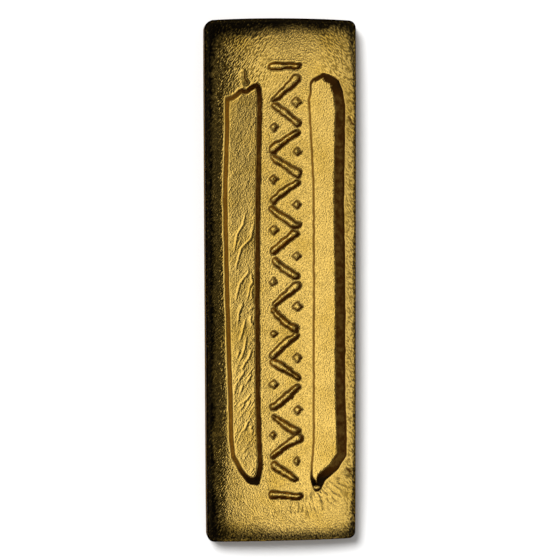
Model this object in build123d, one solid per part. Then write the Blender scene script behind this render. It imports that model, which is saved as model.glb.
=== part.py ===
"""Cast gold bar: a slim cushion-faced ingot with two sunk panels and a punched band between them.

The bar lies flat on its plain back. +X runs across it, +Y along it and +Z up, out of its decorated face.
The origin is the middle of the flat back. All lengths are in millimetres.
"""

import os
from math import atan2, degrees, hypot, radians, tan

from build123d import *

# Bar: the plan of its back before the edges are rounded, its height, and the mould's draft. The bowed end is
# the wider one
LENGTH = 41.8
WIDTH = 12.3
SIDE_TAPER = 0.2
THICKNESS = 3.65
SIDE_DRAFT_DEGREES = 3.0
CORNER_RADIUS = 0.85
END_BOW = 0.15
END_SLANT = 0.25
BACK_EDGE_RADIUS = 0.3

# Cushion: how far the face drops at its sides and ends. A higher roll degree keeps the middle flatter
SIDE_DROP = 0.7
SIDE_ROLL_DEGREE = 6
END_DROP = 0.65
END_ROLL_DEGREE = 16
FACE_EDGE_RADIUS = 0.4

# Sunk panels: two long troughs with their outer corners cut off, one each side of a plain band that was
# set a little to the right of the bar's middle line
BAND_WIDTH = 3.7
BAND_SHIFT = 0.35
PANEL_SIDE_MARGIN = 1.2
PANEL_END_MARGIN = 4.8
PANEL_DEPTH = 0.75
PANEL_WALL_RUN = 0.45
PANEL_CORNER_RADIUS = 0.25
PANEL_FLOOR_RADIUS = 0.15
PANEL_LIP_RADIUS = 0.12

# Panel mouths, hand cut and so uneven: each point is a share of the panel's width, counted from its
# inner side to its outer side, and of its half length, counted from the bar's middle
LEFT_MOUTH_SHARES = (
    (0.0, 0.96), (0.95, 0.89), (1.0, 0.4), (0.86, -0.85), (0.1, -1.01),
)
RIGHT_MOUTH_SHARES = (
    (0.0, 0.99), (0.25, 1.03), (0.6, 1.02), (0.87, 0.95), (0.93, -0.865), (0.14, -1.03),
)

# Punched band: a zigzag of chisel strokes with a lozenge in each bay and a bar across each end
PUNCH_END_MARGIN = 3.6
PUNCH_EDGE_GAP = 0.55
PUNCH_FLANK_DEGREES = 38.0
STROKE_COUNT = 16
STROKE_WIDTH = 0.68
STROKE_DEPTH = 0.32
STROKE_GAP = 0.4
END_BAR_GAP = 0.45
LOZENGE_SIDE = 0.6
LOZENGE_DEPTH = 0.22
LOZENGE_TURN_DEGREES = 45.0
LOZENGE_PLACE_SHARE = 0.72

# Cutters start this far clear of the face
CUT_OVERRUN = 0.4

# A rounded edge takes up at most this share of the room beside it
ROUND_LIMIT_SHARE = 0.85


def bar_plan():
    """Outline of the back: one end slightly bowed out, the other a little narrower and out of square."""
    half_width = WIDTH / 2
    half_length = LENGTH / 2
    top_left = (-half_width, half_length - END_BOW)
    top_right = (half_width, half_length - END_BOW)
    bottom_left = (-half_width + SIDE_TAPER, -half_length)
    bottom_right = (half_width, -half_length + END_SLANT)
    outline = Curve() + [
        Polyline(top_left, bottom_left, bottom_right, top_right),
        ThreePointArc(top_right, (0, half_length), top_left),
    ]
    plan = make_face(outline)
    return fillet(plan.vertices(), CORNER_RADIUS)


def cushion_face():
    """Cushion surface over the bar's plan: a Bezier patch with only its border control points lowered."""
    net = []
    for i in range(SIDE_ROLL_DEGREE + 1):
        side_drop = SIDE_DROP if i in (0, SIDE_ROLL_DEGREE) else 0
        x = WIDTH * (i / SIDE_ROLL_DEGREE - 0.5)
        row = []
        for j in range(END_ROLL_DEGREE + 1):
            end_drop = END_DROP if j in (0, END_ROLL_DEGREE) else 0
            y = LENGTH * (j / END_ROLL_DEGREE - 0.5)
            row.append((x, y, THICKNESS - side_drop - end_drop))
        net.append(row)
    return Face.make_bezier_surface(net)


def face_height():
    """Height of the cushion at the middle of the bar, where the border's drop has almost died away."""
    return THICKNESS - 2 * SIDE_DROP * 0.5**SIDE_ROLL_DEGREE - 2 * END_DROP * 0.5**END_ROLL_DEGREE


def bar_blank():
    """The plain bar: drafted sides under a cushioned face, with its edges rounded."""
    blank = extrude(bar_plan(), amount=THICKNESS, taper=SIDE_DRAFT_DEGREES)
    blank -= extrude(cushion_face(), amount=THICKNESS, dir=(0, 0, 1))
    top_corner_radius = CORNER_RADIUS - THICKNESS * tan(radians(SIDE_DRAFT_DEGREES))
    rim_radius = min(FACE_EDGE_RADIUS, ROUND_LIMIT_SHARE * top_corner_radius)
    face = blank.faces().sort_by(Axis.Z)[-1]
    blank = fillet(face.edges(), rim_radius)
    return fillet(blank.edges().group_by(Axis.Z)[0], BACK_EDGE_RADIUS)


def panel_cutter(shares, side):
    """Trough cutter for the panel on one side of the band (-1 left, 1 right), with sloping walls."""
    panel_width = (WIDTH - BAND_WIDTH) / 2 - PANEL_SIDE_MARGIN
    half_length = LENGTH / 2 - PANEL_END_MARGIN
    corners = []
    for across, along in shares:
        x = BAND_SHIFT + side * (BAND_WIDTH / 2 + across * panel_width)
        corners.append((x, along * half_length))
    mouth = make_face(Polyline(*corners, close=True))
    floor = offset(mouth, -PANEL_WALL_RUN, kind=Kind.INTERSECTION)
    shortest_side = floor.edges().sort_by(SortBy.LENGTH)[0].length
    corner_radius = min(PANEL_CORNER_RADIUS, ROUND_LIMIT_SHARE * shortest_side / 2)
    floor = fillet(floor.vertices(), corner_radius)
    wall_degrees = degrees(atan2(PANEL_WALL_RUN, PANEL_DEPTH))
    trough = extrude(floor, amount=PANEL_DEPTH + CUT_OVERRUN, taper=-wall_degrees)
    floor_radius = min(PANEL_FLOOR_RADIUS, ROUND_LIMIT_SHARE * corner_radius)
    trough = fillet(trough.faces().sort_by(Axis.Z)[0].edges(), floor_radius)
    return Pos(Z=THICKNESS - PANEL_DEPTH) * trough


def punch_cutter(outline, depth, x, y, turn):
    """Cutter for one punched mark: its outline on the face, sunk with sloping flanks."""
    flare = CUT_OVERRUN * tan(radians(PUNCH_FLANK_DEGREES))
    started = offset(outline, flare, kind=Kind.INTERSECTION)
    cutter = extrude(started, amount=-(depth + CUT_OVERRUN), taper=PUNCH_FLANK_DEGREES)
    return Pos(BAND_SHIFT + x, y, face_height() + CUT_OVERRUN) * Rot(Z=turn) * cutter


def stroke_outline(length):
    """Chisel stroke: a narrow bar with pointed ends."""
    shoulder = (length - STROKE_WIDTH) / 2
    half_width = STROKE_WIDTH / 2
    right = [(shoulder, -half_width), (length / 2, 0), (shoulder, half_width)]
    left = [(-shoulder, half_width), (-length / 2, 0), (-shoulder, -half_width)]
    return make_face(Polyline(*right, *left, close=True))


def punch_cutters():
    """Every mark of the punched band, spread evenly along its middle line."""
    reach = BAND_WIDTH / 2 - PUNCH_EDGE_GAP
    bar_place = LENGTH / 2 - PUNCH_END_MARGIN - STROKE_WIDTH / 2
    zigzag_end = bar_place - STROKE_WIDTH / 2 - END_BAR_GAP
    pitch = 2 * zigzag_end / STROKE_COUNT
    slant = degrees(atan2(pitch, 2 * reach))
    end_bar = stroke_outline(2 * reach)
    stroke = stroke_outline(hypot(pitch, 2 * reach) - STROKE_GAP)
    lozenge = Rectangle(LOZENGE_SIDE, LOZENGE_SIDE)
    marks = [punch_cutter(end_bar, STROKE_DEPTH, 0, end * bar_place, 0) for end in (-1, 1)]
    for i in range(STROKE_COUNT):
        lean = 1 if i % 2 else -1
        start = i * pitch - zigzag_end
        marks.append(punch_cutter(stroke, STROKE_DEPTH, 0, start + pitch / 2, lean * slant))
        if i:
            x = lean * LOZENGE_PLACE_SHARE * reach
            marks.append(punch_cutter(lozenge, LOZENGE_DEPTH, x, start, LOZENGE_TURN_DEGREES))
    return marks


def ingot():
    """The finished bar: the blank with its panels sunk, their lips worn round, and its band punched."""
    bar = bar_blank()
    bar -= panel_cutter(LEFT_MOUTH_SHARES, -1)
    bar -= panel_cutter(RIGHT_MOUTH_SHARES, 1)
    face = bar.faces().filter_by(GeomType.BEZIER).sort_by(SortBy.AREA)[-1]
    lips = [edge for wire in face.inner_wires() for edge in wire.edges()]
    bar = fillet(lips, PANEL_LIP_RADIUS)
    bar -= punch_cutters()
    return bar


os.makedirs("parts", exist_ok=True)
export_step(ingot(), "parts/ingot.step")
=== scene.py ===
"""Looks of the cast gold bar: one sculpted mesh, its gold with painted shade, a pale floor and soft light.

The bar is sculpted in millimetres and scaled to metres when its mesh is made. +X runs across the bar, +Y
along it towards its bowed end and +Z up, out of its worked face. Left is -X, right is +X and the top is +Y.
"""

import math

import bpy
import numpy as np
from mathutils import Matrix, Vector


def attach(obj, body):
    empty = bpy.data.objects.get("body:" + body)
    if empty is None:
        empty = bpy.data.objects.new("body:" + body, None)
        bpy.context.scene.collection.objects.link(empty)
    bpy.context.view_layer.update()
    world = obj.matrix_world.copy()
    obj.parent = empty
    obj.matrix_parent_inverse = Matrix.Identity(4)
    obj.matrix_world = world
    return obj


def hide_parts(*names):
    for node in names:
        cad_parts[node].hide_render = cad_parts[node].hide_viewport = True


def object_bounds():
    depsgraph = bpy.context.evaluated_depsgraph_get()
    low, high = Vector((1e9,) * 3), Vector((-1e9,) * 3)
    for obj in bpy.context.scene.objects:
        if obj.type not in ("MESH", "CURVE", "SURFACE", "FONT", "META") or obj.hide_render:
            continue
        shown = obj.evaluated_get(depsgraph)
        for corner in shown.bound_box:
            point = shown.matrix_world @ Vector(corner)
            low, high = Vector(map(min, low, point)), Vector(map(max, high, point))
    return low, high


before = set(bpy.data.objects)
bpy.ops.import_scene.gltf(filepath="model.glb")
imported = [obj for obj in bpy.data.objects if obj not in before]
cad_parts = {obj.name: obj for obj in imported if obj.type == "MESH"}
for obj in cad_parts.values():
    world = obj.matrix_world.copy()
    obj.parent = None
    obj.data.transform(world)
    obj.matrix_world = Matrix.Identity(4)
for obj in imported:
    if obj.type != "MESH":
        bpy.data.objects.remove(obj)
cad_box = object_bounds()

# Metres in a millimetre
MM = 0.001

# Bar: the solid's sizes, the radius of its three crisper corners, and where its ends start to bow and slant
LENGTH = 41.8
WIDTH = 12.3
SIDE_TAPER = 0.2
THICKNESS = 3.65
SIDE_DRAFT = math.radians(3.0)
CORNER_RADIUS = 0.85
CRISP_CORNER_RADIUS = 0.55
END_BOW = 0.15
END_SLANT = 0.25
END_WARP_START = 14.0
BACK_EDGE_RADIUS = 0.3
SIDE_DROP = 0.7
SIDE_ROLL_DEGREE = 6
END_DROP = 0.65
END_ROLL_DEGREE = 16
RIM_RADIUS = 0.4

# How far the mesh keeps inside the solid, so that burrs and grain stay within its box
FACE_ALLOWANCE = 0.04
SIDE_ALLOWANCE = 0.03

# Outline at the foot of the rounded rim, before its ends bow and slant
RIM_INSET = (THICKNESS - SIDE_DROP - RIM_RADIUS) * math.tan(SIDE_DRAFT)
HALF_WIDTH = WIDTH / 2 - SIDE_ALLOWANCE - RIM_INSET
HALF_LENGTH = LENGTH / 2 - SIDE_ALLOWANCE - RIM_INSET

# Grid of the mesh: its rings, columns and rows, and the places where columns crowd, each with its reach
RIM_RINGS = 9
FACE_COLUMNS = 158
FACE_ROWS = 470
SIDE_ROWS = 4
BACK_EDGE_ROWS = 3
COLUMN_CROWDING = 1.0
CROWDED_PLACES = ((-4.3, 0.45), (-3.0, 0.9), (-1.75, 0.45), (2.5, 0.45), (4.85, 0.45))
CROWDING_SAMPLES = 4000

# Sunk panels: their hand-cut mouths with small waves, and the depth, lean and twist of their floors
LEFT_MOUTH = (
    (-1.45, 14.0), (-1.5, 15.1), (-1.62, 15.45), (-1.85, 15.6), (-2.1, 15.55), (-2.55, 15.3), (-2.77, 15.1),
    (-3.0, 15.2), (-3.3, 15.1), (-3.6, 14.8), (-3.9, 14.6), (-4.4, 14.5), (-4.42, 12.0), (-4.57, 6.5),
    (-4.42, -1.0), (-4.18, -8.8), (-4.1, -12.4), (-3.95, -13.9), (-3.35, -15.0), (-2.7, -15.9),
    (-2.45, -16.05), (-1.9, -16.15), (-1.7, -16.05), (-1.55, -15.5), (-1.4, -14.5), (-1.5, -12.5),
    (-1.6, -8.8), (-1.64, -1.0), (-1.59, 6.5),
)
RIGHT_MOUTH = (
    (2.52, 7.2), (2.23, 12.7), (2.12, 14.3), (2.28, 14.9), (2.27, 15.6), (2.5, 15.95), (2.95, 16.2),
    (3.3, 16.4), (3.7, 16.35), (4.25, 16.1), (4.6, 15.85), (4.95, 15.0), (5.14, 13.8), (5.05, 6.5),
    (5.17, -1.0), (5.16, -8.8), (5.29, -12.5), (5.26, -13.8), (4.6, -14.85), (3.55, -15.8), (3.25, -16.45),
    (3.0, -16.65), (2.68, -16.65), (2.5, -16.2), (2.32, -15.6), (2.36, -14.8), (2.54, -12.5),
)
MOUTH_WAVE = 0.02
MOUTH_WAVE_CELL = 0.5
PANEL_DEPTH = 0.75
LEFT_FLOOR_LEAN = 0.092
LEFT_FLOOR_TWIST = 0.0009
RIGHT_FLOOR_LEAN = 0.03
FLOOR_FILLET = 0.006
FLOOR_FILLET_REACH = 0.22

# Walls of the panels: their run, its gain to the right in the right panel, and its gain at the lower tips
LEFT_WALL_RUN = 0.4
RIGHT_WALL_RUN = 0.51
RIGHT_RUN_GAIN = 0.33
TIP_START = -15.2
TIP_RISE = 0.9
TIP_GAIN = 1.3

# Painted shade on the walls: its sharpness and depth, and its gains on right walls, at tips, ends and right
# lips
WALL_SHADE_SHARPNESS = 12.0
WALL_SHADE = 0.84
WALL_SHADE_GAIN = 0.17
TIP_SHADE = 1.0
END_WALL_SHADE = 0.5
END_WALL_SHADE_START = 14.4
END_WALL_SHADE_RISE = 1.0
WALL_LIP_SHADE = 0.7
WALL_LIP_SHARE = 0.3

# Lips of the panels, slightly raised on the right and worn on the left, and the patchy polish along edges
LIP_BURR = 0.006
LIP_BURR_WIDTH = 0.07
POLISH_WIDTH = 0.06
POLISH_CELL = 0.7
POLISH_SHARE = 0.6
POLISH_PATCH_SHARE = 0.4

# Calmer skin, with less grain: on the left panel's floor and along the middle of the left margin
CALM_FLOOR_SHARE = 0.5
CALM_MARGIN_SHARE = 0.45
CALM_MARGIN_START = 4.4
CALM_MARGIN_RISE = 0.6
CALM_MARGIN_END = 11.0
CALM_MARGIN_FADE = 4.0

# Bright chip left standing in the right panel's lower tip: its place, half sizes, drop and soft edge
CHIP_PLACE = (2.85, -16.3)
CHIP_SIZE = (0.3, 0.14)
CHIP_DROP = 0.18
CHIP_REACH_SHARE = 1.3
CHIP_EDGE_SHARE = 0.6

# Punched band: a zigzag of chisel strokes with a lozenge in each bay and a bar across each end
BAND_SHIFT = 0.35
BAND_WIDTH = 3.7
PUNCH_END_MARGIN = 3.6
PUNCH_EDGE_GAP = 0.55
STROKE_COUNT = 16
STROKE_WIDTH = 0.68
STROKE_DEPTH = 0.32
STROKE_GAP = 0.4
STROKE_FLANK = 0.24
END_BAR_GAP = 0.45
LOZENGE_SIDE = 0.6
LOZENGE_DEPTH = 0.22
LOZENGE_FLANK = 0.16
LOZENGE_PLACE_SHARE = 0.72

# Marks of the band: how far the hand strayed, their ragged edges and burrs, their flanks and their painted
# shade
HAND_TURN = math.radians(6.0)
HAND_SHIFT = 0.08
HAND_STRETCH_SHARE = 0.1
HAND_WIDEN_SHARE = 0.3
HAND_BOW = 0.12
HAND_DEPTH_SHARE = 0.2
MARK_WOBBLE = 0.07
MARK_WOBBLE_CELL = 0.42
MARK_RAGGED = 0.035
MARK_RAGGED_CELL = 0.2
MARK_BURR = 0.02
MARK_BURR_WIDTH = 0.12
FLANK_GAIN_SHARE = 0.3
MARK_SHADE = 0.65
MARK_SHADE_GAIN = 0.4
MARK_LIP_SHADE = 0.4

# Wrinkles in the left panel's floor, where the metal folded as it set: their middle lines, width, depth and
# painted shade
WRINKLES = (
    ((-2.65, 5.65), (-2.8, 5.15), (-2.95, 4.4), (-3.4, 3.7), (-3.5, 3.0), (-3.6, 2.5), (-3.8, 2.05)),
    ((-2.05, 4.75), (-2.3, 3.4), (-2.8, 2.85), (-3.05, 2.6), (-3.2, 2.15), (-3.4, 1.35), (-3.5, 0.95),
     (-3.65, 0.7)),
    ((-2.5, 1.1), (-2.55, 0.65), (-2.95, 0.1), (-3.2, -0.25), (-3.4, -1.05), (-3.55, -1.6)),
    ((-2.2, 0.7), (-2.3, 0.3), (-2.15, -0.1), (-2.4, -0.45), (-2.5, -1.1), (-2.7, -1.55)),
    ((-2.15, -0.5), (-2.3, -0.9), (-2.2, -1.3)),
    ((-2.9, -1.6), (-3.05, -2.05), (-3.25, -2.45), (-3.3, -3.1), (-3.5, -3.4)),
    ((-2.7, -2.9), (-2.8, -3.25), (-3.0, -4.1), (-3.15, -4.6), (-3.4, -4.9)),
    ((-2.3, -2.65), (-2.35, -3.1), (-2.15, -3.6)),
    ((-2.2, -2.1), (-2.45, -2.35)),
    ((-2.65, -4.25), (-2.8, -5.3), (-2.95, -5.8), (-3.3, -6.55)),
    ((-3.2, -5.4), (-3.3, -5.75), (-3.45, -6.1)),
    ((-2.25, -5.25), (-2.35, -5.7), (-2.5, -6.1), (-2.8, -6.5), (-3.1, -7.2)),
    ((-2.8, -7.05), (-2.95, -7.4), (-3.2, -7.7), (-3.3, -8.0)),
    ((-2.2, -7.3), (-2.45, -7.7), (-2.7, -8.1)),
    ((-2.95, -8.2), (-3.15, -8.8)),
    ((-2.2, -8.85), (-2.85, -9.55), (-3.45, -10.05)),
    ((-2.8, -9.65), (-2.95, -9.95), (-3.25, -10.2)),
    ((-2.35, -9.55), (-2.55, -9.85)),
    ((-2.5, -11.05), (-2.8, -11.75), (-3.0, -11.95)),
    ((-2.2, -11.45), (-2.4, -11.7)),
    ((-2.1, -11.75), (-2.35, -12.15)),
)
WRINKLE_WIDTH = 0.09
WRINKLE_DEPTH = 0.025
WRINKLE_SHADE = 0.6

# Cracks: one that runs up out of the left panel, and two in the right margin, each with painted shade
CRACKS = (
    ((-2.86, 16.7), (-2.87, 16.15), (-2.77, 15.75), (-2.6, 15.3)),
    ((5.07, -14.8), (5.43, -15.08), (5.8, -15.2)),
    ((5.3, 13.1), (5.5, 12.6), (5.85, 12.15)),
)
CRACK_WIDTH = 0.21
CRACK_DEPTH = 0.12
CRACK_SHADE = 1.3

# Section of a wrinkle or crack, in shares of its width, and its fading ends, in shares of its length
GROOVE_WANDER_SHARE = 0.3
GROOVE_STEEP_SHARE = 0.5
GROOVE_SHADE_PLACE_SHARE = 0.2
GROOVE_SHADE_WIDTH_SHARE = 0.4
GROOVE_FADE_SHARE = 0.25

# Fine scratches that fan out down and to the right from the right panel's lower tip
FAN_CENTRE = (1.7, -14.6)
FAN_LEAN = (0.5, -0.87)
FAN_START = 1.6
FAN_RISE = 1.0
FAN_REACH = 4.8
FAN_FADE = 1.6
FAN_TURN_CELL = 0.06
FAN_LENGTH_CELL = 0.9
FAN_LINE_LOW = 0.36
FAN_LINE_HIGH = 0.5
FAN_DEPTH = 0.55

# Drag streaks on the margins, counted from the band's middle line, and at the top's left and right
DRAG_START = 4.3
DRAG_RISE = 0.8
DRAG_TOP_START = 14.0
DRAG_TOP_RISE = 2.0
DRAG_TOP_LEFT_START = 1.0
DRAG_TOP_LEFT_RISE = 3.0
DRAG_TOP_RIGHT_START = 2.0
DRAG_TOP_RIGHT_RISE = 2.0
DRAG_TURN = math.radians(38.0)
DRAG_STRETCH = 2.6

# Fine folds all over the left panel's floor, which grow towards its lower end in two steps
FOLD_SHARE = 0.25
FOLD_MIDDLE_GAIN_SHARE = 0.1
FOLD_MIDDLE_START = 7.0
FOLD_LOWER_GAIN_SHARE = 0.25
FOLD_LOWER_START = -5.0
FOLD_RISE = 3.0
FOLD_TURN = math.radians(-34.0)
FOLD_STRETCH = 5.0

# Painted shade round the rim, for the dark reflections of its rolled edges: how far the painted shade of the
# sides reaches in over the face, how it fades, and its waver
RIM_SHADE_REACH_LEFT = 1.1
RIM_SHADE_REACH_RIGHT = 0.34
RIM_SHADE_REACH_TOP = 1.95
RIM_SHADE_REACH_BOTTOM = 1.75
RIM_SHADE_END_START = 14.0
RIM_SHADE_END_RISE = 5.0
RIM_SHADE_END_GAIN = 0.32
RIM_SHADE_CORNER_GAIN_SHARE = 0.85
RIM_SHADE_STEEPNESS_LEFT = 1.3
RIM_SHADE_STEEPNESS_RIGHT = 1.6
RIM_SHADE_STEEPNESS_END = 1.1
RIM_SHADE_RIGHT_SHARE = 0.8
RIM_SHADE_BOTTOM_SHARE = 0.8
RIM_SHADE_WAVER_SHARE = 0.22
RIM_SHADE_WAVER_CELL = 1.1

# Sides: their flat lumps, and how far below the rim the painted shade fades out
SIDE_LUMP_HEIGHT = 0.012
SIDE_LUMP_CELL = 0.5
SIDE_LUMP_FLATNESS = 3.0
PAINTED_SHADE_SIDE_DEPTH = 0.8

# Unevenness of the cast face: slow swells and a fine pebbled skin
SWELL_HEIGHT = 0.01
SWELL_CELL = 1.6
PEBBLE_HEIGHT = 0.0025
PEBBLE_CELL = 0.19
NOISE_CELLS = 256

# Shortest length that is divided by
TINY = 1e-9

# Seeds of the random parts
LEFT_MOUTH_SEED = 11
RIGHT_MOUTH_SEED = 13
SWELL_SEED = 23
PEBBLE_SEED = 37
POLISH_SEED = 38
HAND_SEED = 41
SIDE_SEED = 53
RIM_SHADE_SEED = 67

# Colours, as linear values
GOLD = (0.95, 0.63, 0.15, 1.0)
DEEP_GOLD = (0.8, 0.5, 0.08, 1.0)
# Painted shade in the grain's pits
PIT_SHADE = (0.3, 0.18, 0.024, 1.0)
# Darkest painted shade: round the rim, and where the painted shade in the cuts runs deepest
DARKEST_SHADE = (0.014, 0.01, 0.005, 1.0)
SIDE_GOLD = (0.42, 0.255, 0.055, 1.0)
SIDE_SHADE = (0.29, 0.17, 0.036, 1.0)
# Painted shade on the walls of the cuts and along wrinkles and cracks
RECESS_SHADE_COLOUR = (0.115, 0.044, 0.0067, 1.0)
FLOOR_WHITE = (0.6, 0.6, 0.6, 1.0)
WHITE = (1.0, 1.0, 1.0, 1.0)
BLACK = (0.0, 0.0, 0.0, 1.0)

# Noises of the gold's skin: lumps per metre, stretch, distortion and detail, and their middle level
GRAIN_SCALE = 11200.0
GRAIN_STRETCH = 1.5
GRAIN_DISTORTION = 0.3
STREAK_SCALE = 9500.0
CREASE_SCALE = 3600.0
CREASE_DISTORTION = 0.5
FINE_DETAIL = 1.0
PATCH_SCALE = 420.0
SKIN_PATCH_SCALE = 2200.0
PATCH_DETAIL = 4.0
PATCH_NOISE_ROUGHNESS = 0.6
NOISE_MIDDLE = 0.5

# Where the gold's colours come in: lows and highs are levels of the noise or value that a colour follows
DEEP_GOLD_LOW = 0.4
DEEP_GOLD_HIGH = 0.8
PIT_LOW = 0.36
PIT_HIGH = 0.62
PIT_SHARPENING = 0.06
PIT_SHARE = 0.38
PIT_DRAG_GAIN_SHARE = 0.47
SKIN_PATCH_LOW = 0.35
SKIN_PATCH_HIGH = 0.7
RECESS_PATCH_SHARE = 0.8
RECESS_FULL = 1.0
RECESS_DARKEST = 2.0
RECESS_DARK_SHARE = 0.9
SHADE_FADE_MOTTLE_SHARE = 0.6
SHADE_FADE_LOW = 0.05
SHADE_FADE_HIGH = 0.9
FLECK_LOW = 0.1
FLECK_HIGH = 0.95

# Gloss of the gold: its roughness in patches, and what the rim's painted shade, sides, cuts and panel floors
# add to it
GLOSS_PATCH_LOW = 0.3
GLOSS_PATCH_HIGH = 0.75
GOLD_ROUGHNESS_LOW = 0.14
GOLD_ROUGHNESS_HIGH = 0.18
RIM_SHADE_ROUGHNESS_GAIN = 0.12
SIDE_ROUGHNESS_GAIN = 0.16
SIDE_ROUGHNESS_FULL = 0.2
RECESS_ROUGHNESS_GAIN = 0.3
PANEL_FLOOR_ROUGHNESS_GAIN = 0.03

# Fine relief of the gold: its grain and folds, and how strong the grain is on each kind of skin
GRAIN_HEIGHT = 0.04
FOLD_DEPTH = 0.034
GRAIN_STRENGTH = 0.8
GRAIN_PANEL_FLOOR_LOSS = 0.3
GRAIN_POLISHED_SHARE = 0.3
GRAIN_DRAGGED_SHARE = 0.8

# Sockets of a mix node, some of whose names repeat
MIX_SHARE = 0
MIX_FIRST_VALUE = 2
MIX_SECOND_VALUE = 3
MIX_FIRST_COLOUR = 6
MIX_SECOND_COLOUR = 7
MIX_VALUE_RESULT = 0
MIX_COLOUR_RESULT = 2

# Floor: its width in metres and its finish
FLOOR_WIDTH = 4.0
FLOOR_ROUGHNESS = 0.9
FLOOR_SPECULAR = 0.1

# Camera: close to straight above, tilted a little to the left and to the top of the bar
FRAME_WIDTH = 44.05
CAMERA_LENS = 150.0
CAMERA_SENSOR = 36.0
CAMERA_CLIP = 10.0
CAMERA_TILT_LEFT = math.radians(2.0)
CAMERA_TILT_TOP = math.radians(1.5)
CAMERA_SHIFT_LEFT = 0.065
CAMERA_SHIFT_UP = 0.1

# Soft box overhead, as a glow of the world: its edges as angles from straight up, and its strength
BOX_LEFT = math.radians(-7.5)
BOX_RIGHT = math.radians(21.0)
BOX_BOTTOM = math.radians(-30.0)
BOX_TOP = math.radians(20.0)
BOX_LEFT_FADE = math.radians(3.0)
BOX_RIGHT_FADE = math.radians(12.0)
BOX_BOTTOM_FADE = math.radians(16.0)
BOX_TOP_FADE = math.radians(12.0)
BOX_STRENGTH = 0.59
BOX_UPPER_SHARE = 0.68
BOX_FALL_START = math.radians(-9.0)
BOX_FALL_END = math.radians(13.0)

# Light that trails off to the right of the box, and the dim sky that brightens towards the horizon
TRAIL_STRENGTH = 0.72
TRAIL_START = math.radians(20.0)
TRAIL_END = math.radians(76.0)
SKY_STRENGTH = 0.03
HORIZON_START = math.radians(31.0)
HORIZON_FULL = math.radians(57.0)
HORIZON_STRENGTH = 0.5

# Lamp for the floor and the bar's shadow
LAMP_STRENGTH = 4.8
LAMP_SPREAD = math.radians(20.0)
LAMP_TILT_RIGHT = math.radians(-16.0)
LAMP_TILT_DOWN = math.radians(-23.0)


def smoothstep(share):
    """Smooth rise from 0 to 1 as the share goes from 0 to 1."""
    share = np.clip(share, 0, 1)
    return share * share * (3 - 2 * share)


def bump_curve(distance, width):
    """Rounded ridge: 1 at no distance, and almost 0 at twice the width."""
    return np.exp(-((distance / width) ** 2))


def smooth_noise(x, y, cell, seed):
    """Smooth seeded noise from -1 to 1 over the plane, with lumps about one cell across."""
    lattice = np.random.default_rng(seed).uniform(-1, 1, (NOISE_CELLS, NOISE_CELLS))
    column = np.floor(x / cell).astype(int)
    row = np.floor(y / cell).astype(int)
    across = smoothstep(x / cell - column)
    along = smoothstep(y / cell - row)
    steps = [(i, j) for i in (0, 1) for j in (0, 1)]
    corners = [lattice[(column + i) % NOISE_CELLS, (row + j) % NOISE_CELLS] for i, j in steps]
    near = corners[0] * (1 - along) + corners[1] * along
    far = corners[2] * (1 - along) + corners[3] * along
    return near * (1 - across) + far * across


def edge_offset(x, y, start, end):
    """Offset of each point from the nearest place on a straight edge, and that place as a share of it."""
    edge_x = end[0] - start[0]
    edge_y = end[1] - start[1]
    share = ((x - start[0]) * edge_x + (y - start[1]) * edge_y) / (edge_x**2 + edge_y**2)
    share = np.clip(share, 0, 1)
    return x - start[0] - share * edge_x, y - start[1] - share * edge_y, share


def outline_distance(x, y, corners):
    """Distance to a closed outline, negative inside it, and the +X part of the direction out of it."""
    nearest = np.full(x.shape, np.inf)
    away_x = np.zeros(x.shape)
    inside = np.zeros(x.shape, bool)
    for start, end in zip(corners, corners[1:] + corners[:1]):
        off_x, off_y, _ = edge_offset(x, y, start, end)
        distance = np.hypot(off_x, off_y)
        closer = distance < nearest
        nearest = np.where(closer, distance, nearest)
        away_x = np.where(closer, off_x, away_x)
        if start[1] != end[1]:
            crosses = (start[1] > y) != (end[1] > y)
            slope = (end[0] - start[0]) / (end[1] - start[1])
            inside ^= crosses & (x < start[0] + (y - start[1]) * slope)
    sign = np.where(inside, -1, 1)
    return sign * nearest, sign * away_x / np.maximum(nearest, TINY)


def line_distance(x, y, points):
    """Distance to an open line, negative to its left, and the share of its length at the nearest point."""
    nearest = np.full(x.shape, np.inf)
    signed = np.zeros(x.shape)
    place = np.zeros(x.shape)
    run = 0.0
    for start, end in zip(points, points[1:]):
        off_x, off_y, share = edge_offset(x, y, start, end)
        distance = np.hypot(off_x, off_y)
        side = np.where((end[0] - start[0]) * off_y - (end[1] - start[1]) * off_x > 0, -1, 1)
        length = math.dist(start, end)
        closer = distance < nearest
        nearest = np.where(closer, distance, nearest)
        signed = np.where(closer, side * distance, signed)
        place = np.where(closer, run + share * length, place)
        run += length
    return signed, place / run


def wall_profile(share):
    """How deep a wall lies, from 0 at its lip to 1 at its foot, with crisp edges."""
    return (np.clip(share, 0, 1) + smoothstep(share)) / 2


def wall_mask(share):
    """1 on a wall and 0 on the face and the floor beside it."""
    return smoothstep(WALL_SHADE_SHARPNESS * share) * smoothstep(WALL_SHADE_SHARPNESS * (1 - share))


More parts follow.
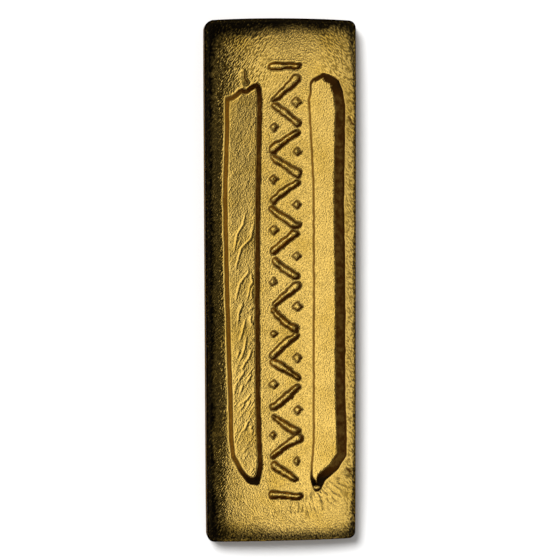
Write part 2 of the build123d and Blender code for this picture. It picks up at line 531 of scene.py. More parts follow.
class Relief:
    """Heights of the worked face as cuts are made in it, with the painted shade on its walls, its floors and
    polished edges.
    """

    def __init__(self, x, y, cushion):
        self.x = x
        self.y = y
        self.height = cushion.copy()
        self.cushion = cushion
        self.recess_shade = np.zeros(x.shape)
        self.floor = np.zeros(x.shape)
        self.polish = np.zeros(x.shape)

    def noise(self, cell, seed):
        """Smooth seeded noise over the face."""
        return smooth_noise(self.x, self.y, cell, seed)

    def cast_skin(self):
        """Swells and pebbles that the mould left all over the face."""
        self.height += SWELL_HEIGHT * self.noise(SWELL_CELL, SWELL_SEED)
        self.height += PEBBLE_HEIGHT * self.noise(PEBBLE_CELL, PEBBLE_SEED)

    def sink_panel(self, mouth, seed, run, lean, gain=0.0, twist=0.0):
        """Sinks a panel to its leaning floor, with a wavy mouth, uneven lips and painted shade on its walls.
        """
        wave_x = MOUTH_WAVE * self.noise(MOUTH_WAVE_CELL, seed)
        wave_y = MOUTH_WAVE * self.noise(MOUTH_WAVE_CELL, seed + 1)
        distance, away_x = outline_distance(self.x + wave_x, self.y + wave_y, mouth)
        tip = smoothstep((TIP_START - self.y) / TIP_RISE)
        wall_run = (run + gain * away_x) * (1 + TIP_GAIN * tip)
        share = -distance / wall_run
        depth_share = wall_profile(share)

        past_wall = np.maximum(-distance - wall_run, 0)
        middle_x = np.mean([corner[0] for corner in mouth])
        floor = THICKNESS - FACE_ALLOWANCE - PANEL_DEPTH + (self.height - self.cushion)
        floor += (lean + twist * self.y) * (self.x - middle_x)
        floor += FLOOR_FILLET * np.exp(-past_wall / FLOOR_FILLET_REACH) * np.clip(-away_x, 0, 1)
        lip = LIP_BURR * away_x * bump_curve(distance, LIP_BURR_WIDTH) * (1 - depth_share)
        self.height = (self.height + lip) * (1 - depth_share) + floor * depth_share
        self.floor = np.maximum(self.floor, depth_share)

        # Painted shade on the walls: more on right walls, at the lower tips, near the ends and at right lips
        painted_shade = WALL_SHADE + WALL_SHADE_GAIN * away_x + TIP_SHADE * tip
        painted_shade += END_WALL_SHADE * smoothstep((np.abs(self.y) - END_WALL_SHADE_START) / END_WALL_SHADE_RISE)
        painted_shade += WALL_LIP_SHADE * np.clip(away_x, 0, 1) * smoothstep(1 - share / WALL_LIP_SHARE)
        self.shade_wall(share, painted_shade)
        for edge in (distance, distance + wall_run):
            self.polish_edge(edge)

    def press(self, distance, flank, depth):
        """Presses a mark in: full depth past its ragged flank, with a burr thrown up round it and painted
        shade on its flanks.
        """
        distance = distance + MARK_WOBBLE * self.noise(MARK_WOBBLE_CELL, HAND_SEED)
        distance = distance + MARK_RAGGED * self.noise(MARK_RAGGED_CELL, HAND_SEED + 1)
        away_x = np.clip(np.gradient(distance, axis=0) / np.gradient(self.x, axis=0), -1, 1)
        away_y = np.clip(np.gradient(distance, axis=1) / np.gradient(self.y, axis=1), -1, 1)
        share = -distance / (flank * (1 + FLANK_GAIN_SHARE * away_x))
        depth_share = wall_profile(share)
        burr = MARK_BURR * bump_curve(distance, MARK_BURR_WIDTH) * (1 - depth_share)
        self.height += burr - depth * depth_share
        # Painted shade on the flanks: more on right and lower flanks and near the lip
        painted_shade = MARK_SHADE + MARK_SHADE_GAIN * (away_x - away_y) / math.sqrt(2)
        self.shade_wall(share, painted_shade + MARK_LIP_SHADE * np.clip(1 - share, 0, 1))
        self.polish_edge(distance)

    def shade_wall(self, share, strength):
        """Paints shade on a wall, where it isn't darker already."""
        self.recess_shade = np.maximum(self.recess_shade, strength * wall_mask(share))

    def polish_edge(self, distance):
        """Polishes a narrow strip along an edge."""
        self.polish = np.maximum(self.polish, bump_curve(distance, POLISH_WIDTH))

    def leave_chip(self):
        """Leaves a small bright chip standing near the face, clear of the painted shade."""
        across = (self.x - CHIP_PLACE[0]) / CHIP_SIZE[0]
        along = (self.y - CHIP_PLACE[1]) / CHIP_SIZE[1]
        share = smoothstep((CHIP_REACH_SHARE - np.hypot(across, along)) / CHIP_EDGE_SHARE)
        self.height = self.height * (1 - share) + (self.cushion - CHIP_DROP) * share
        self.recess_shade *= 1 - share

    def groove(self, points, width, depth, painted_shade):
        """Groove along a line, with one broad side, one steep side and painted shade by the steep side, that
        fades at its ends.
        """
        signed, place = line_distance(self.x, self.y, points)
        signed = signed + GROOVE_WANDER_SHARE * width * self.noise(width, HAND_SEED)
        broad = bump_curve(signed, width)
        steep = bump_curve(signed, GROOVE_STEEP_SHARE * width)
        fade = smoothstep(place / GROOVE_FADE_SHARE) * smoothstep((1 - place) / GROOVE_FADE_SHARE)
        self.height -= depth * np.where(signed < 0, steep, broad) * fade
        # Painted shade along the steep side
        shade = bump_curve(signed + GROOVE_SHADE_PLACE_SHARE * width, GROOVE_SHADE_WIDTH_SHARE * width)
        self.recess_shade = np.maximum(self.recess_shade, painted_shade * shade * fade)


def stroke_distance(x, y, centre, turn, length, widen, bow):
    """Distance to the edge of a chisel stroke, bowed and wider at one end, negative inside it."""
    across = x - centre[0]
    along = y - centre[1]
    u = across * math.cos(turn) + along * math.sin(turn)
    v = along * math.cos(turn) - across * math.sin(turn)
    share = np.clip(2 * u / length, -1, 1)
    half_width = STROKE_WIDTH / 2 * (1 + widen * share)
    beyond = np.maximum(np.abs(u) - (length - STROKE_WIDTH) / 2, 0)
    return np.hypot(beyond, v - bow * (1 - share**2)) - half_width


def lozenge_distance(x, y, centre, side):
    """Distance to the edge of a lozenge, negative inside it."""
    reach = np.abs(x - centre[0]) + np.abs(y - centre[1])
    return (reach - side / math.sqrt(2)) / math.sqrt(2)


def punch_band(relief):
    """Punches the band of marks, each a little out of place, turn, size and depth, as a hand does it."""
    hand = np.random.default_rng(HAND_SEED)
    reach = BAND_WIDTH / 2 - PUNCH_EDGE_GAP
    bar_place = LENGTH / 2 - PUNCH_END_MARGIN - STROKE_WIDTH / 2
    zigzag_end = bar_place - STROKE_WIDTH / 2 - END_BAR_GAP
    pitch = 2 * zigzag_end / STROKE_COUNT
    slant = math.atan2(pitch, 2 * reach)
    stroke_length = math.hypot(pitch, 2 * reach) - STROKE_GAP
    leans = [1 if i % 2 else -1 for i in range(STROKE_COUNT)]
    strokes = [(end * bar_place, 0.0, 2 * reach) for end in (-1, 1)]
    for i, lean in enumerate(leans):
        strokes.append((i * pitch - zigzag_end + pitch / 2, lean * slant, stroke_length))
    for place, turn, length in strokes:
        shift_x, shift_y, turned, stretched, deepened, widened, bowed = hand.uniform(-1, 1, 7)
        centre = (BAND_SHIFT + HAND_SHIFT * shift_x, place + HAND_SHIFT * shift_y)
        turn = turn + HAND_TURN * turned
        length = length * (1 + HAND_STRETCH_SHARE * stretched)
        widen = HAND_WIDEN_SHARE * widened
        bow = HAND_BOW * bowed
        edge = stroke_distance(relief.x, relief.y, centre, turn, length, widen, bow)
        relief.press(edge, STROKE_FLANK, STROKE_DEPTH * (1 + HAND_DEPTH_SHARE * deepened))
    for i, lean in enumerate(leans[1:], start=1):
        shift_x, shift_y, stretched, deepened = hand.uniform(-1, 1, 4)
        centre_x = BAND_SHIFT + lean * LOZENGE_PLACE_SHARE * reach + HAND_SHIFT * shift_x
        centre_y = i * pitch - zigzag_end + HAND_SHIFT * shift_y
        side = LOZENGE_SIDE * (1 + HAND_STRETCH_SHARE * stretched)
        edge = lozenge_distance(relief.x, relief.y, (centre_x, centre_y), side)
        relief.press(edge, LOZENGE_FLANK, LOZENGE_DEPTH * (1 + HAND_DEPTH_SHARE * deepened))


def grid_lines(half, count, crowded_places):
    """Grid lines from one edge of the face to the other: rings at the rim, crowded where asked."""
    turns = np.linspace(0, math.pi / 2, RIM_RINGS + 1)
    rim = (RIM_RADIUS * (1 - np.cos(turns)))[:-1]
    inner = half - RIM_RADIUS
    samples = np.linspace(-inner, inner, CROWDING_SAMPLES)
    density = np.ones(samples.shape)
    for place, reach in crowded_places:
        density += COLUMN_CROWDING * bump_curve(samples - place, reach)
    reached = np.cumsum(density)
    reached = (reached - reached[0]) / (reached[-1] - reached[0])
    middle = np.interp(np.linspace(0, 1, count + 1), reached, samples)
    return np.concatenate([rim - half, middle, (half - rim)[::-1]])


def rounded_plan(x, y):
    """Moves a square grid's corners onto round ones. Also gives each point's inset from the outline."""
    corner = np.where((x < 0) & (y > 0), CORNER_RADIUS - RIM_INSET, CRISP_CORNER_RADIUS)
    inset = np.minimum(HALF_WIDTH - np.abs(x), HALF_LENGTH - np.abs(y))
    radius = np.maximum(corner - inset, 0)
    centre_x = HALF_WIDTH - np.maximum(corner, inset)
    centre_y = HALF_LENGTH - np.maximum(corner, inset)
    off_x = np.abs(x) - centre_x
    off_y = np.abs(y) - centre_y
    in_corner = (off_x > 0) & (off_y > 0) & (radius > 0)
    length = np.where(in_corner, np.hypot(off_x, off_y), 1)
    plan_x = np.where(in_corner, np.sign(x) * (centre_x + radius * off_x / length), x)
    plan_y = np.where(in_corner, np.sign(y) * (centre_y + radius * off_y / length), y)
    return plan_x, plan_y, inset


def warp_plan(x, y):
    """Bows the top end out, sets the bottom end out of square and draws the left side in towards it."""
    far = np.clip((np.abs(y) - END_WARP_START) / (HALF_LENGTH - END_WARP_START), 0, 1) ** 2
    bow = -END_BOW * (x / HALF_WIDTH) ** 2
    slant = END_SLANT * (x / HALF_WIDTH + 1) / 2
    taper = SIDE_TAPER * (1 - x / HALF_WIDTH) / 2 * (1 - y / HALF_LENGTH) / 2
    return x + taper, y + far * np.where(y > 0, bow, slant)


def cushion_height(x, y, inset):
    """Height of the plain cushioned face with its rounded rim."""
    across = np.clip(x / WIDTH + 0.5, 0, 1)
    along = np.clip(y / LENGTH + 0.5, 0, 1)
    sides = (1 - across) ** SIDE_ROLL_DEGREE + across**SIDE_ROLL_DEGREE
    ends = (1 - along) ** END_ROLL_DEGREE + along**END_ROLL_DEGREE
    rim_share = np.clip(1 - inset / RIM_RADIUS, 0, 1)
    rim_drop = RIM_RADIUS * (1 - np.sqrt(1 - rim_share**2))
    return THICKNESS - FACE_ALLOWANCE - SIDE_DROP * sides - END_DROP * ends - rim_drop


def work_face(x, y, cushion):
    """The face with its panels, chip, wrinkles, cracks and marks."""
    relief = Relief(x, y, cushion)
    relief.cast_skin()
    relief.sink_panel(
        LEFT_MOUTH, LEFT_MOUTH_SEED, LEFT_WALL_RUN, LEFT_FLOOR_LEAN, twist=LEFT_FLOOR_TWIST)
    relief.sink_panel(
        RIGHT_MOUTH, RIGHT_MOUTH_SEED, RIGHT_WALL_RUN, RIGHT_FLOOR_LEAN, gain=RIGHT_RUN_GAIN)
    relief.leave_chip()
    for wrinkle in WRINKLES:
        relief.groove(wrinkle, WRINKLE_WIDTH, WRINKLE_DEPTH, WRINKLE_SHADE)
    for crack in CRACKS:
        relief.groove(crack, CRACK_WIDTH, CRACK_DEPTH, CRACK_SHADE)
    punch_band(relief)
    return relief


def drag_share(relief):
    """Where the skin is dragged into streaks: outside the panels, and at the top's left and right."""
    margins = smoothstep((np.abs(relief.x - BAND_SHIFT) - DRAG_START) / DRAG_RISE)
    top = smoothstep((relief.y - DRAG_TOP_START) / DRAG_TOP_RISE)
    top_left = smoothstep((DRAG_TOP_LEFT_START - relief.x) / DRAG_TOP_LEFT_RISE)
    top_right = smoothstep((relief.x - DRAG_TOP_RIGHT_START) / DRAG_TOP_RIGHT_RISE)
    return np.maximum(margins, top * np.maximum(top_left, top_right)) * (1 - relief.floor)


def left_floor(relief):
    """How deep in the left panel each point lies: 1 on its floor and 0 outside it."""
    return relief.floor * (relief.x < BAND_SHIFT)


def fold_share(relief):
    """How strongly the left panel's floor is folded."""
    middle = FOLD_MIDDLE_GAIN_SHARE * smoothstep((FOLD_MIDDLE_START - relief.y) / FOLD_RISE)
    lower = FOLD_LOWER_GAIN_SHARE * smoothstep((FOLD_LOWER_START - relief.y) / FOLD_RISE)
    return (FOLD_SHARE + middle + lower) * left_floor(relief)


def fan_share(relief):
    """Where the fan of scratches lies."""
    across = relief.x - FAN_CENTRE[0]
    along = relief.y - FAN_CENTRE[1]
    past = across * FAN_LEAN[0] + along * FAN_LEAN[1]
    started = smoothstep((past - FAN_START) / FAN_RISE)
    return started * smoothstep((FAN_REACH - np.hypot(across, along)) / FAN_FADE) * (1 - relief.floor)


def polish_share(relief):
    """How much of the grain is polished away along the worn edges, or calmer on its own."""
    patchy = POLISH_SHARE + POLISH_PATCH_SHARE * relief.noise(POLISH_CELL, POLISH_SEED)
    margin = smoothstep((-relief.x - CALM_MARGIN_START) / CALM_MARGIN_RISE)
    margin *= 1 - smoothstep((np.abs(relief.y) - CALM_MARGIN_END) / CALM_MARGIN_FADE)
    calm = np.maximum(CALM_MARGIN_SHARE * margin, CALM_FLOOR_SHARE * left_floor(relief))
    return np.maximum(relief.polish * patchy, calm)


def rim_shade(x, y):
    """How far the painted shade of the sides covers the face: 1 at the outline and 0 further in."""
    # The painted shade reaches in furthest at the ends, and further on the left than the right; it is
    # lighter on the right and at the bottom
    side_reach = np.interp(x, (-HALF_WIDTH, HALF_WIDTH), (RIM_SHADE_REACH_LEFT, RIM_SHADE_REACH_RIGHT))
    side_reach += RIM_SHADE_END_GAIN * smoothstep((np.abs(y) - RIM_SHADE_END_START) / RIM_SHADE_END_RISE)
    end_reach = np.interp(y, (-HALF_LENGTH, HALF_LENGTH), (RIM_SHADE_REACH_BOTTOM, RIM_SHADE_REACH_TOP))
    end_reach *= 1 + RIM_SHADE_CORNER_GAIN_SHARE * smoothstep(-x / HALF_WIDTH)
    waver = 1 + RIM_SHADE_WAVER_SHARE * smooth_noise(x, y, RIM_SHADE_WAVER_CELL, RIM_SHADE_SEED)
    steepness = np.where(x < 0, RIM_SHADE_STEEPNESS_LEFT, RIM_SHADE_STEEPNESS_RIGHT)
    side_band_shade = smoothstep(steepness * (1 - waver * (HALF_WIDTH - np.abs(x)) / side_reach))
    side_band_shade *= np.where(x < 0, 1, RIM_SHADE_RIGHT_SHARE)
    end_band_shade = smoothstep(RIM_SHADE_STEEPNESS_END * (1 - waver * (HALF_LENGTH - np.abs(y)) / end_reach))
    end_band_shade *= np.where(y < 0, RIM_SHADE_BOTTOM_SHARE, 1)
    return 1 - (1 - side_band_shade) * (1 - end_band_shade)


def border_ring(index):
    """Grid indices once round the border, anticlockwise seen from above."""
    bottom = index[:, 0]
    right = index[-1, 1:]
    top = index[-2::-1, -1]
    left = index[0, -2:0:-1]
    return np.concatenate([bottom, right, top, left])


def side_rows(edge):
    """Rows of points down the uneven drafted sides and round the back's edge, from the border's points."""
    around = np.roll(edge, -1, axis=0) - np.roll(edge, 1, axis=0)
    outward = np.stack([around[:, 1], -around[:, 0]], axis=-1)
    outward /= np.linalg.norm(outward, axis=1)[:, None]
    rows = []
    run = edge[:, 0] + edge[:, 1]
    for share in np.linspace(0, 1, SIDE_ROWS + 1)[1:]:
        height = edge[:, 2] * (1 - share) + BACK_EDGE_RADIUS * share
        lumps = smooth_noise(run, height * SIDE_LUMP_FLATNESS, SIDE_LUMP_CELL, SIDE_SEED)
        outset = (edge[:, 2] - height) * math.tan(SIDE_DRAFT)
        outset += SIDE_LUMP_HEIGHT * math.sin(share * math.pi) * lumps
        rows.append((outset, height))
    for turn in np.linspace(0, math.pi / 2, BACK_EDGE_ROWS + 1)[1:]:
        height = np.full(len(edge), BACK_EDGE_RADIUS * (1 - math.sin(turn)))
        inward = BACK_EDGE_RADIUS * (1 - math.cos(turn))
        outset = (edge[:, 2] - BACK_EDGE_RADIUS) * math.tan(SIDE_DRAFT) - inward
        rows.append((outset, height))
    return [np.column_stack([edge[:, :2] + outward * outset[:, None], height]) for outset, height in rows]


def face_quads(index):
    """Quads over the grid of the face."""
    corners = [index[:-1, :-1], index[1:, :-1], index[1:, 1:], index[:-1, 1:]]
    return np.stack(corners, axis=-1).reshape(-1, 4).tolist()


def ring_quads(upper, lower):
    """Quads between a ring of points and the ring below it."""
    return np.stack([upper, lower, np.roll(lower, -1), np.roll(upper, -1)], axis=-1).tolist()


def back_faces(ring, columns, rows):
    """Strips across the flat back, with one face at each end."""
    bottom = ring[:columns]
    right = ring[columns - 1:columns + rows - 1]
    top = ring[columns + rows - 2:2 * columns + rows - 2]
    left = (ring[2 * columns + rows - 3:] + ring[:1])[::-1]
    strips = [[left[j], left[j + 1], right[j + 1], right[j]] for j in range(1, rows - 2)]
    return strips + [bottom[::-1] + [left[1], right[1]], top[::-1] + [right[-2], left[-2]]]


def sculpt_bar():
    """Vertices in millimetres, faces, and the values per vertex that the gold's finish follows."""
    line_x = grid_lines(HALF_WIDTH, FACE_COLUMNS, CROWDED_PLACES)
    line_y = grid_lines(HALF_LENGTH, FACE_ROWS, ())
    square_x, square_y = np.meshgrid(line_x, line_y, indexing="ij")
    plan_x, plan_y, inset = rounded_plan(square_x, square_y)
    plan_x, plan_y = warp_plan(plan_x, plan_y)
    relief = work_face(plan_x, plan_y, cushion_height(plan_x, plan_y, inset))
    points = np.stack([plan_x, plan_y, relief.height], axis=-1).reshape(-1, 3)
    index = np.arange(len(points)).reshape(plan_x.shape)
    faces = face_quads(index)

    upper = border_ring(index)
    edge = points[upper]
    rows = side_rows(edge)
    side_points = np.concatenate(rows)
    for i in range(len(rows)):
        lower = np.arange(len(edge)) + len(points) + i * len(edge)
        faces += ring_quads(upper, lower)
        upper = lower
    faces += back_faces(upper.tolist(), *index.shape)

    side_count = len(side_points)
    depth_below_rim = np.tile(edge[:, 2], len(rows)) - side_points[:, 2]
    values = {
        "drag": (drag_share(relief), np.zeros(side_count)),
        "folds": (fold_share(relief), np.zeros(side_count)),
        "fan": (fan_share(relief), np.zeros(side_count)),
        # Painted shade round the rim, full on the sides
        "painted_shade": (rim_shade(square_x, square_y), np.ones(side_count)),
        # Depth down the sides, over which the rim's painted shade fades out
        "side_depth": (np.zeros(index.shape), np.clip(depth_below_rim / PAINTED_SHADE_SIDE_DEPTH, 0, 1)),
        # Painted shade in the cuts
        "recess_shade": (relief.recess_shade, np.zeros(side_count)),
        "panel_floor": (relief.floor, np.zeros(side_count)),
        "polish": (polish_share(relief), np.zeros(side_count)),
    }
    values = {key: np.concatenate([face.reshape(-1), side]) for key, (face, side) in values.items()}
    return np.concatenate([points, side_points]), faces, values


def make_piece(name, points, faces, values):
    """Smooth-shaded mesh object in metres, with its values stored per vertex."""
    mesh = bpy.data.meshes.new(name)
    mesh.from_pydata((points * MM).tolist(), [], faces)
    mesh.update()
    mesh.polygons.foreach_set("use_smooth", np.ones(len(mesh.polygons), bool))
    for key, numbers in values.items():
        layer = mesh.attributes.new(key, "FLOAT", "POINT")
        layer.data.foreach_set("value", numbers.astype(np.float32))
    piece = bpy.data.objects.new(name, mesh)
    bpy.context.scene.collection.objects.link(piece)
    return piece


class Nodes:
    """Short forms for building a node tree."""

    def __init__(self, tree):
        self.tree = tree

    def add(self, kind, inputs=None, **settings):
        """Adds a node. An input is another node's output socket or a plain value."""
        node = self.tree.nodes.new(kind)
        for key, value in settings.items():
            setattr(node, key, value)
        for key, value in (inputs or {}).items():
            if isinstance(value, bpy.types.NodeSocket):
                self.tree.links.new(value, node.inputs[key])
            else:
                node.inputs[key].default_value = value
        return node

    def attribute(self, name):
        """Value stored per vertex."""
        return self.add("ShaderNodeAttribute", attribute_name=name).outputs["Fac"]

    def noise(self, place, scale, detail, roughness=0.5, distortion=0.0, **settings):
        """Noise texture."""
        inputs = {
            "Vector": place,
            "Scale": scale,
            "Detail": detail,
            "Roughness": roughness,
            "Distortion": distortion,
        }
        return self.add("ShaderNodeTexNoise", inputs, **settings).outputs["Fac"]

    def math(self, operation, *values):
        """Result of one sum."""
        return self.add("ShaderNodeMath", dict(enumerate(values)), operation=operation).outputs[0]

    def ramp(self, value, low, high, at_low=0.0, at_high=1.0):
        """Value carried smoothly from one range to another."""
        inputs = {"Value": value, "From Min": low, "From Max": high, "To Min": at_low, "To Max": at_high}
        return self.add("ShaderNodeMapRange", inputs, interpolation_type="SMOOTHSTEP").outputs["Result"]

    def edge(self, value, place, width, before=0.0, after=1.0):
        """Smooth change at a place, over a width."""
        return self.ramp(value, place - width / 2, place + width / 2, before, after)

    def split(self, vector):
        """The three parts of a vector."""
        parts = self.add("ShaderNodeSeparateXYZ", {"Vector": vector}).outputs
        return parts["X"], parts["Y"], parts["Z"]

    def stretched(self, place, turn, stretch):
        """Places for a texture that is drawn out along +Y turned by an angle."""
        inputs = {"Vector": place, "Rotation": (0.0, 0.0, turn), "Scale": (1.0, stretch, 1.0)}
        return self.add("ShaderNodeMapping", inputs, vector_type="TEXTURE").outputs["Vector"]

    def mirrored(self, place):
        """Places with the -X half a mirror image of the +X half."""
        x, y, z = self.split(place)
        inputs = {"X": self.math("ABSOLUTE", x), "Y": y, "Z": z}
        return self.add("ShaderNodeCombineXYZ", inputs).outputs["Vector"]

    def rays(self, place, centre, turn_cell, length_cell):
        """Places for a texture of rays: the turn round a centre and the distance from it, in cells."""
        x, y, _ = self.split(place)
        across = self.math("SUBTRACT", x, centre[0])
        along = self.math("SUBTRACT", y, centre[1])
        square = self.math("ADD", self.math("MULTIPLY", across, across), self.math("MULTIPLY", along, along))
        turn = self.math("DIVIDE", self.math("ARCTAN2", along, across), turn_cell)
        reach = self.math("DIVIDE", self.math("SQRT", square), length_cell)
        return self.add("ShaderNodeCombineXYZ", {"X": turn, "Y": reach}).outputs["Vector"]

    def mix(self, share, first, second):
        """Value between two values."""
        inputs = {MIX_SHARE: share, MIX_FIRST_VALUE: first, MIX_SECOND_VALUE: second}
        return self.add("ShaderNodeMix", inputs).outputs[MIX_VALUE_RESULT]

    def blend(self, share, first, second):
        """Colour between two colours."""
        inputs = {MIX_SHARE: share, MIX_FIRST_COLOUR: first, MIX_SECOND_COLOUR: second}
        return self.add("ShaderNodeMix", inputs, data_type="RGBA").outputs[MIX_COLOUR_RESULT]


def gold_grain(nodes, place):
    """Fine grain of the skin: pebbles, drawn out into streaks on the margins, with a fan of scratches."""
    pebble_place = nodes.stretched(place, 0.0, GRAIN_STRETCH)
    pebbles = nodes.noise(pebble_place, GRAIN_SCALE, FINE_DETAIL, distortion=GRAIN_DISTORTION)
    streak_place = nodes.stretched(nodes.mirrored(place), DRAG_TURN, DRAG_STRETCH)
    streaks = nodes.noise(streak_place, STREAK_SCALE, FINE_DETAIL)
    grain = nodes.mix(nodes.attribute("drag"), pebbles, streaks)
    centre = (FAN_CENTRE[0] * MM, FAN_CENTRE[1] * MM)
    rays = nodes.noise(nodes.rays(place, centre, FAN_TURN_CELL, FAN_LENGTH_CELL * MM), 1.0, FINE_DETAIL)
    scratches = nodes.ramp(rays, FAN_LINE_LOW, FAN_LINE_HIGH, FAN_DEPTH, 0.0)
    return nodes.math("SUBTRACT", grain, nodes.math("MULTIPLY", nodes.attribute("fan"), scratches))


def gold_colour(nodes, grain, patches, skin_patches):
    """Gold: deeper in patches, with painted shade in its grain's pits, on the walls of its cuts and round
    its rim, dull on its sides.
    """
    drag = nodes.attribute("drag")
    recess_shade = nodes.attribute("recess_shade")
    side_depth = nodes.attribute("side_depth")
    colour = nodes.blend(nodes.ramp(patches, DEEP_GOLD_LOW, DEEP_GOLD_HIGH), GOLD, DEEP_GOLD)

    # Painted shade in the grain's pits, more on the dragged streaks and less where polished
    pit_low = nodes.math("MULTIPLY_ADD", drag, PIT_SHARPENING, PIT_LOW)
    pit_high = nodes.math("MULTIPLY_ADD", drag, -PIT_SHARPENING, PIT_HIGH)
    pit_share = nodes.math("MULTIPLY_ADD", drag, PIT_DRAG_GAIN_SHARE, PIT_SHARE)
    pit_share = nodes.math("MULTIPLY", pit_share, nodes.math("SUBTRACT", 1.0, nodes.attribute("polish")))
    pits = nodes.math("MULTIPLY", nodes.ramp(grain, pit_low, pit_high, 1.0, 0.0), pit_share)
    colour = nodes.blend(pits, colour, PIT_SHADE)

    # Painted shade on the walls of the cuts, darkest where it runs deepest
    recess_patches = nodes.ramp(skin_patches, SKIN_PATCH_LOW, SKIN_PATCH_HIGH, 1.0, RECESS_PATCH_SHARE)
    colour = nodes.blend(nodes.math("MULTIPLY", recess_shade, recess_patches), colour, RECESS_SHADE_COLOUR)
    darkest = nodes.ramp(recess_shade, RECESS_FULL, RECESS_DARKEST, 0.0, RECESS_DARK_SHARE)
    colour = nodes.blend(darkest, colour, DARKEST_SHADE)

    side = nodes.blend(nodes.ramp(skin_patches, SKIN_PATCH_LOW, SKIN_PATCH_HIGH), SIDE_GOLD, SIDE_SHADE)
    colour = nodes.blend(nodes.math("GREATER_THAN", side_depth, 0.0), colour, side)
    # The rim's painted shade, broken into gold flecks by the grain, fading out down the sides
    mottle = nodes.math("MULTIPLY", nodes.math("SUBTRACT", skin_patches, NOISE_MIDDLE), SHADE_FADE_MOTTLE_SHARE)
    unfaded_shade = nodes.ramp(nodes.math("ADD", side_depth, mottle), SHADE_FADE_LOW, SHADE_FADE_HIGH, 1.0, 0.0)
    flecked = nodes.math("ADD", nodes.attribute("painted_shade"), nodes.math("SUBTRACT", NOISE_MIDDLE, grain))
    skin = nodes.math("MULTIPLY", nodes.ramp(flecked, FLECK_LOW, FLECK_HIGH), unfaded_shade)
    return nodes.blend(skin, colour, DARKEST_SHADE)


def gold_roughness(nodes, patches):
    """Satin gold, duller under the rim's painted shade, on its sides, in its cuts and on its panel floors.
    """
    rough = nodes.ramp(patches, GLOSS_PATCH_LOW, GLOSS_PATCH_HIGH, GOLD_ROUGHNESS_LOW, GOLD_ROUGHNESS_HIGH)
    gains = (
        nodes.math("MULTIPLY", nodes.attribute("painted_shade"), RIM_SHADE_ROUGHNESS_GAIN),
        nodes.ramp(nodes.attribute("side_depth"), 0.0, SIDE_ROUGHNESS_FULL, 0.0, SIDE_ROUGHNESS_GAIN),
        nodes.ramp(nodes.attribute("recess_shade"), 0.0, RECESS_FULL, 0.0, RECESS_ROUGHNESS_GAIN),
        nodes.math("MULTIPLY", nodes.attribute("panel_floor"), PANEL_FLOOR_ROUGHNESS_GAIN),
    )
    for gain in gains:
        rough = nodes.math("ADD", rough, gain)
    return rough


def gold_relief(nodes, place, grain):
    """Bumps of the grain, and the folds of the left panel's floor."""
    panel_floor = nodes.attribute("panel_floor")
    strength = nodes.math("MULTIPLY_ADD", panel_floor, -GRAIN_PANEL_FLOOR_LOSS, GRAIN_STRENGTH)
    shares = (
        nodes.ramp(nodes.attribute("polish"), 0.0, 1.0, 1.0, GRAIN_POLISHED_SHARE),
        nodes.ramp(nodes.attribute("drag"), 0.0, 1.0, 1.0, GRAIN_DRAGGED_SHARE),
    )
    for share in shares:
        strength = nodes.math("MULTIPLY", strength, share)
    grained = nodes.add(
        "ShaderNodeBump", {"Height": grain, "Strength": strength, "Distance": GRAIN_HEIGHT * MM})
    crease_place = nodes.stretched(place, FOLD_TURN, FOLD_STRETCH)
    creases = nodes.noise(
        crease_place, CREASE_SCALE, FINE_DETAIL, distortion=CREASE_DISTORTION,
        noise_type="RIDGED_MULTIFRACTAL", normalize=True)
    folds = nodes.math("MULTIPLY", creases, nodes.attribute("folds"))
    folded = nodes.add(
        "ShaderNodeBump",
        {"Height": folds, "Distance": -FOLD_DEPTH * MM, "Normal": grained.outputs["Normal"]})
    return folded.outputs["Normal"]


def gold_material():
    """Cast gold with a grained skin, painted shade and dull sides."""
    material = bpy.data.materials.new("cast_gold")
    material.use_nodes = True
    material.node_tree.nodes.clear()
    nodes = Nodes(material.node_tree)
    place = nodes.add("ShaderNodeTexCoord").outputs["Object"]
    patches = nodes.noise(place, PATCH_SCALE, PATCH_DETAIL, PATCH_NOISE_ROUGHNESS)
    skin_patches = nodes.noise(place, SKIN_PATCH_SCALE, PATCH_DETAIL, PATCH_NOISE_ROUGHNESS)
    grain = gold_grain(nodes, place)
    inputs = {
        "Base Color": gold_colour(nodes, grain, patches, skin_patches),
        "Roughness": gold_roughness(nodes, patches),
        "Metallic": 1.0,
        # Black specular tint under the rim's painted shade, which darkens its reflections too
        "Specular Tint": nodes.blend(nodes.attribute("painted_shade"), WHITE, BLACK),
        "Normal": gold_relief(nodes, place, grain),
    }
    shader = nodes.add("ShaderNodeBsdfPrincipled", inputs)
    nodes.add("ShaderNodeOutputMaterial", {"Surface": shader.outputs["BSDF"]})
    return material


def floor_material():
    """Plain matt white."""
    material = bpy.data.materials.new("pale_floor")
    material.use_nodes = True
    shader = material.node_tree.nodes["Principled BSDF"]
    shader.inputs["Base Color"].default_value = FLOOR_WHITE
    shader.inputs["Roughness"].default_value = FLOOR_ROUGHNESS
    shader.inputs["Specular IOR Level"].default_value = FLOOR_SPECULAR
    return material


def build_floor(level):
    """Wide plain floor that the bar lies on."""
    half = FLOOR_WIDTH / 2
    mesh = bpy.data.meshes.new("floor")
    corners = [(-half, -half, level), (half, -half, level), (half, half, level), (-half, half, level)]
    mesh.from_pydata(corners, [], [(0, 1, 2, 3)])
    floor = bpy.data.objects.new("floor", mesh)
    floor.data.materials.append(floor_material())
    bpy.context.scene.collection.objects.link(floor)


def tilted_up(right, down):
    """Direction that starts straight up and tilts towards +X and towards -Y."""
    return Vector((math.tan(right), -math.tan(down), 1.0)).normalized()


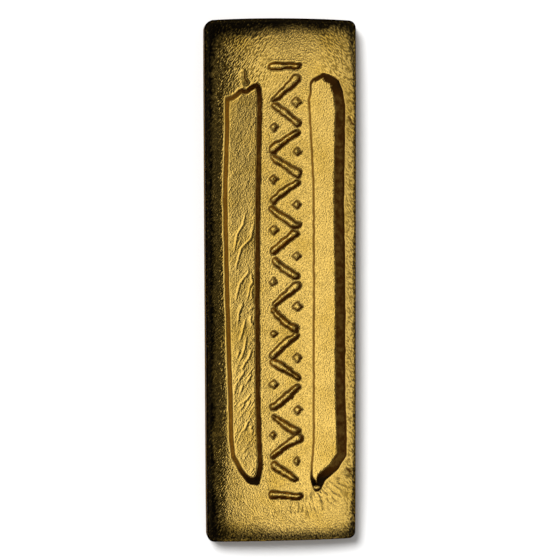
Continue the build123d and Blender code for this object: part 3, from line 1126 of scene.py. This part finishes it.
def light_world():
    """Soft box above the bar that trails off to the right, in a dim sky that brightens to the horizon."""
    world = bpy.data.worlds.new("studio")
    bpy.context.scene.world = world
    world.use_nodes = True
    world.node_tree.nodes.clear()
    nodes = Nodes(world.node_tree)
    side, end, up = nodes.split(nodes.add("ShaderNodeTexCoord").outputs["Generated"])
    across = nodes.math("ARCTAN2", side, up)
    along = nodes.math("ARCTAN2", end, up)
    box = nodes.edge(across, BOX_RIGHT, BOX_RIGHT_FADE, BOX_STRENGTH, 0.0)
    trail = nodes.ramp(across, TRAIL_START, TRAIL_END, TRAIL_STRENGTH, 0.0)
    light = nodes.math("ADD", box, trail)
    shares = (
        nodes.edge(across, BOX_LEFT, BOX_LEFT_FADE),
        nodes.edge(along, BOX_BOTTOM, BOX_BOTTOM_FADE),
        nodes.edge(along, BOX_TOP, BOX_TOP_FADE, 1.0, 0.0),
        nodes.ramp(along, BOX_FALL_START, BOX_FALL_END, 1.0, BOX_UPPER_SHARE),
    )
    for share in shares:
        light = nodes.math("MULTIPLY", light, share)
    from_zenith = nodes.math("ARCCOSINE", up)
    sky = nodes.ramp(from_zenith, HORIZON_START, HORIZON_FULL, SKY_STRENGTH, HORIZON_STRENGTH)
    strength = nodes.math("ADD", light, sky)
    background = nodes.add("ShaderNodeBackground", {"Color": WHITE, "Strength": strength})
    nodes.add("ShaderNodeOutputWorld", {"Surface": background.outputs["Background"]})


def light_floor():
    """Broad lamp from the upper left for the floor and the bar's soft shadow, not mirrored in the gold."""
    lamp = bpy.data.lights.new("floor_lamp", "SUN")
    lamp.energy = LAMP_STRENGTH
    lamp.angle = LAMP_SPREAD
    holder = bpy.data.objects.new("floor_lamp", lamp)
    holder.rotation_mode = "QUATERNION"
    holder.rotation_quaternion = tilted_up(LAMP_TILT_RIGHT, LAMP_TILT_DOWN).to_track_quat("Z", "Y")
    holder.visible_glossy = False
    bpy.context.scene.collection.objects.link(holder)


def place_camera():
    """Camera that looks down on the bar, its frame a little longer than the bar."""
    low, high = cad_box
    centre = (low + high) / 2
    target = Vector((centre.x - CAMERA_SHIFT_LEFT * MM, centre.y + CAMERA_SHIFT_UP * MM, high.z))
    back = tilted_up(-CAMERA_TILT_LEFT, -CAMERA_TILT_TOP)
    data = bpy.data.cameras.new("camera")
    data.lens = CAMERA_LENS
    data.sensor_width = CAMERA_SENSOR
    data.clip_start = CAMERA_CLIP * MM
    camera = bpy.data.objects.new("camera", data)
    camera.location = target + back * (FRAME_WIDTH * MM * CAMERA_LENS / CAMERA_SENSOR)
    side = Vector((0.0, 1.0, 0.0)).cross(back).normalized()
    camera.rotation_mode = "QUATERNION"
    axes = Matrix((side, back.cross(side), back)).transposed()
    camera.rotation_quaternion = axes.to_quaternion()
    bpy.context.scene.collection.objects.link(camera)
    bpy.context.scene.camera = camera


ingot = make_piece("cast_ingot", *sculpt_bar())
ingot.data.materials.append(gold_material())
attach(ingot, "root")
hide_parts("ingot")

build_floor(cad_box[0].z)
light_world()
light_floor()
place_camera()
bpy.context.scene.view_settings.view_transform = "Standard"
